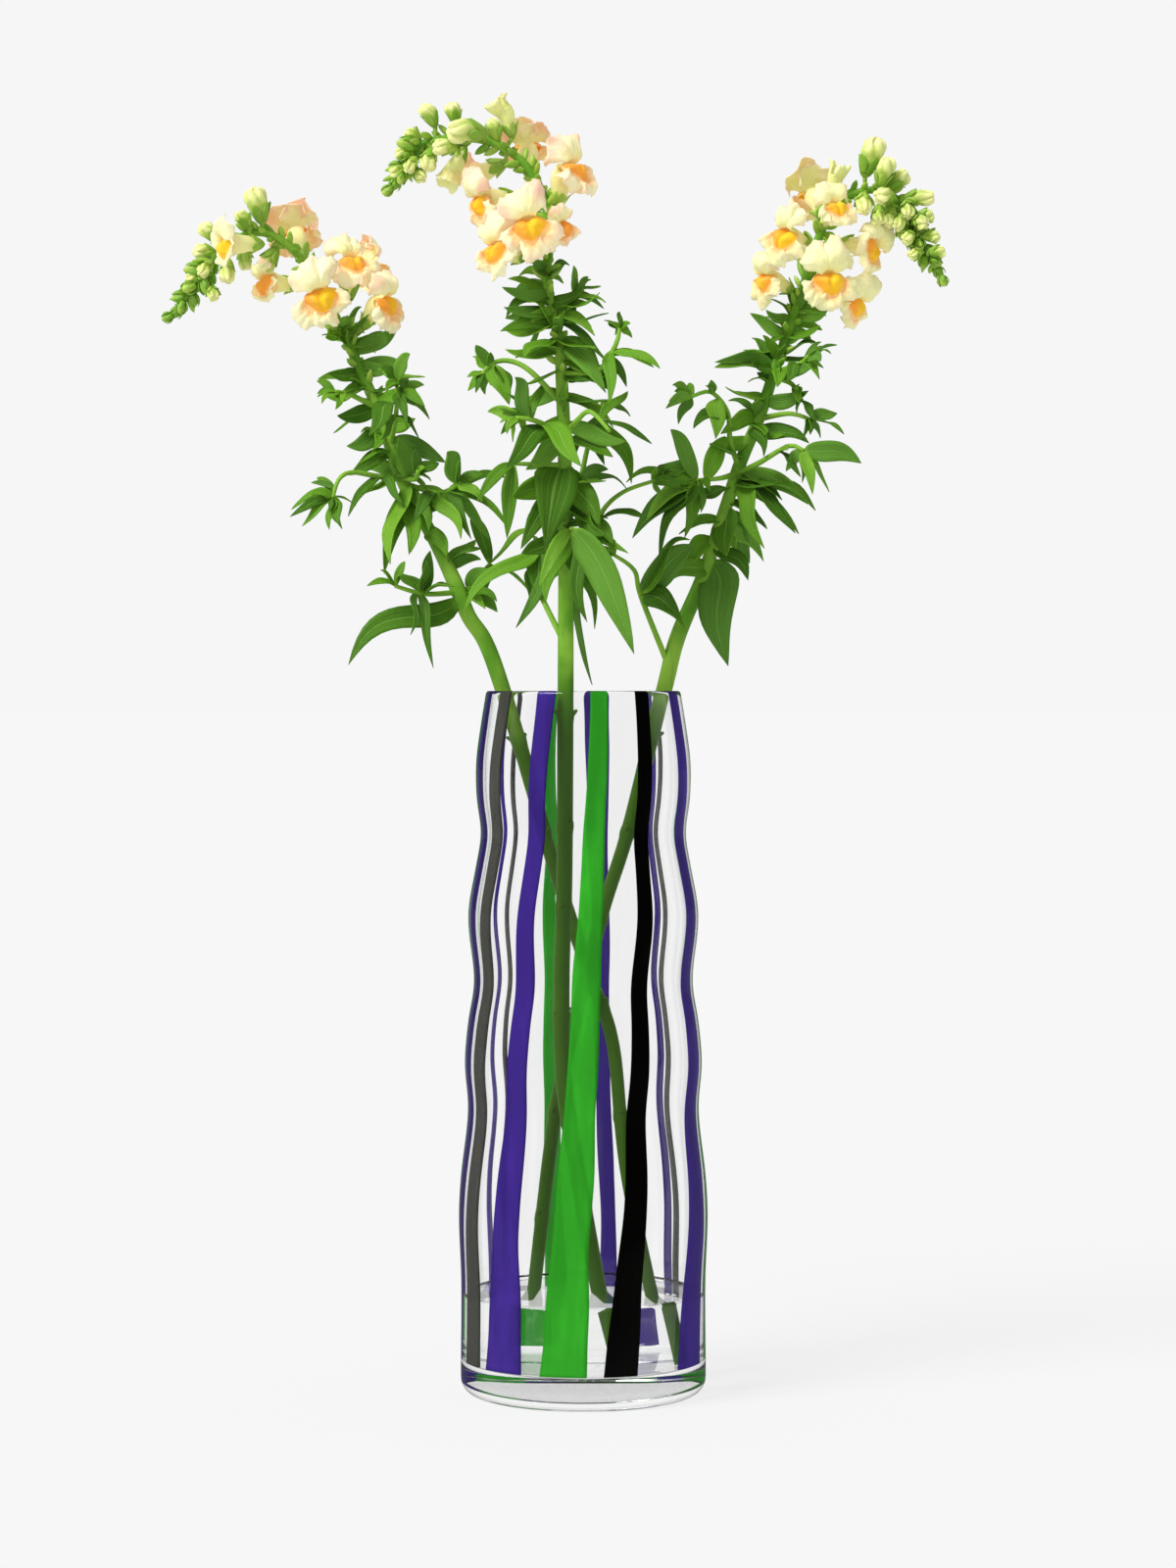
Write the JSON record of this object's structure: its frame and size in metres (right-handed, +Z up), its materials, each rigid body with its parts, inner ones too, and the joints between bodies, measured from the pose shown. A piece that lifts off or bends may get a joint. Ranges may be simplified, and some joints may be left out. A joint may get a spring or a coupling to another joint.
{
  "type": "snapdragon stem",
  "caption": "Cut snapdragon stems with peach and yellow flowers, standing in water in a tall waisted clear glass vase with coloured stripes",
  "frame": {"origin": "centre of the flat underside of the vase", "axes": "+Z up along the vase's axis, -Y to the front as pictured, +X to the right of the front"},
  "size_m": [0.4039, 0.16, 0.6613],
  "materials": {
    "vase": "clear gloss, with violet, green and black stripes in the wall",
    "water": "clear water",
    "stem": "green stem and leaf, satin",
    "petal": "soft cream petals with peach edges and a yellow palate",
    "bud": "pale yellow-green bud, satin"
  },
  "bodies": {
    "root": {"vase": "vase", "water": "water", "stem_left": "stem", "stem_centre": "stem", "stem_right": "stem", "bloom_centre_1": "petal", "bloom_centre_2": "petal", "bloom_centre_3": "petal", "bloom_centre_4": "petal", "bloom_centre_5": "petal", "bloom_centre_6": "petal", "bloom_centre_7": "petal", "bloom_centre_8": "petal", "bloom_centre_9": "petal", "bloom_left_1": "petal", "bloom_left_2": "petal", "bloom_left_3": "petal", "bloom_left_4": "petal", "bloom_left_5": "petal", "bloom_left_6": "petal", "bloom_left_7": "petal", "bloom_right_1": "petal", "bloom_right_2": "petal", "bloom_right_3": "petal", "bloom_right_4": "petal", "bloom_right_5": "petal", "bloom_right_6": "petal", "bloom_right_7": "petal", "bloom_right_8": "petal", "bud_centre_1": "bud", "bud_centre_2": "bud", "bud_centre_3": "bud", "bud_centre_4": "bud", "bud_centre_5": "bud", "bud_left_1": "bud", "bud_left_2": "bud", "bud_left_3": "bud", "bud_left_4": "bud", "bud_left_5": "bud", "bud_left_6": "bud", "bud_right_1": "bud", "bud_right_2": "bud", "bud_right_3": "bud", "bud_right_4": "bud", "bud_right_5": "bud", "bud_right_6": "bud"}
  },
  "joints": []
}
